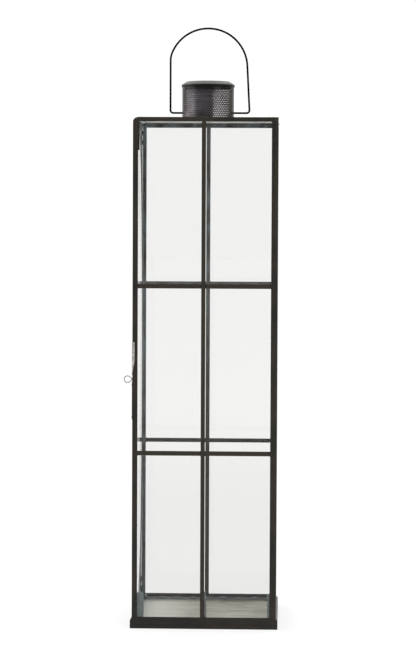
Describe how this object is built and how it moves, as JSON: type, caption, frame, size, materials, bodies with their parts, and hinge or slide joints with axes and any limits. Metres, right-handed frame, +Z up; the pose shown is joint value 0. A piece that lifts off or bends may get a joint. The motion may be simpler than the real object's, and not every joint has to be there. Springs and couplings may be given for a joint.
{
  "type": "hurricane candle lantern",
  "caption": "Tall square glass candle lantern with glazing bars, low plinth, side door, perforated round chimney and swinging wire bail.",
  "frame": {"origin": "middle of the plinth's underside, on the surface that the lantern stands on", "axes": "+Z up through the chimney and the bail, -Y out of the front face, +X right; the door is on the -X side"},
  "size_m": [0.2143, 0.2051, 0.839],
  "materials": {
    "black_lacquer": "dark lacquered sheet, slightly worn at the edges",
    "galvanised_sheet": "bare galvanised sheet, semi-gloss, streaky",
    "clear_glass": "clear, slightly grey",
    "dark_wire": "dark brown lacquered wire",
    "bright_steel": "bare bright steel"
  },
  "bodies": {
    "lantern": {"base_plate": "black_lacquer", "bottom_rail_back": "black_lacquer", "bottom_rail_front": "black_lacquer", "bottom_rail_right": "black_lacquer", "chimney": "black_lacquer", "chimney_lid": "black_lacquer", "cross_bar_back_lower_left": "black_lacquer", "cross_bar_back_lower_right": "black_lacquer", "cross_bar_back_upper_left": "black_lacquer", "cross_bar_back_upper_right": "black_lacquer", "cross_bar_front_lower_left": "black_lacquer", "cross_bar_front_lower_right": "black_lacquer", "cross_bar_front_upper_left": "black_lacquer", "cross_bar_front_upper_right": "black_lacquer", "door_header": "black_lacquer", "door_sill": "black_lacquer", "floor_sheet": "galvanised_sheet", "hinge_lower_fixed": "black_lacquer", "hinge_pins": "dark_wire", "hinge_upper_fixed": "black_lacquer", "muntin_back": "black_lacquer", "muntin_front": "black_lacquer", "pane_back_high_left": "clear_glass", "pane_back_high_right": "clear_glass", "pane_back_low_left": "clear_glass", "pane_back_low_right": "clear_glass", "pane_back_mid_left": "clear_glass", "pane_back_mid_right": "clear_glass", "pane_front_high_left": "clear_glass", "pane_front_high_right": "clear_glass", "pane_front_low_left": "clear_glass", "pane_front_low_right": "clear_glass", "pane_front_mid_left": "clear_glass", "pane_front_mid_right": "clear_glass", "pane_right": "clear_glass", "pane_tab": "black_lacquer", "plinth_back": "black_lacquer", "plinth_front": "black_lacquer", "plinth_left": "black_lacquer", "plinth_right": "black_lacquer", "post_back_left": "black_lacquer", "post_back_right": "black_lacquer", "post_front_left": "black_lacquer", "post_front_right": "black_lacquer", "roof_sheet": "black_lacquer", "top_rail_back": "black_lacquer", "top_rail_front": "black_lacquer", "top_rail_right": "black_lacquer"},
    "door": {"door_pane": "clear_glass", "door_rail_bottom": "black_lacquer", "door_rail_top": "black_lacquer", "door_stile_back": "black_lacquer", "door_stile_front": "black_lacquer", "hinge_lower_moving": "black_lacquer", "hinge_upper_moving": "black_lacquer", "catch_tongue": "bright_steel", "catch_plate": "black_lacquer", "catch_rivets": "bright_steel", "pull_loop": "bright_steel"},
    "bail": {"bail": "dark_wire"}
  },
  "joints": [
    {"name": "door_hinge", "type": "hinge", "parent": "lantern", "child": "door", "pos_m": [-0.1014, 0.1013, 0.359], "axis": [0, 0, -1], "range_deg": [0, 115]},
    {"name": "bail_swing", "type": "hinge", "parent": "lantern", "child": "bail", "pos_m": [0, 0, 0.7184], "axis": [1, 0, 0], "range_deg": [-94, 94]}
  ]
}
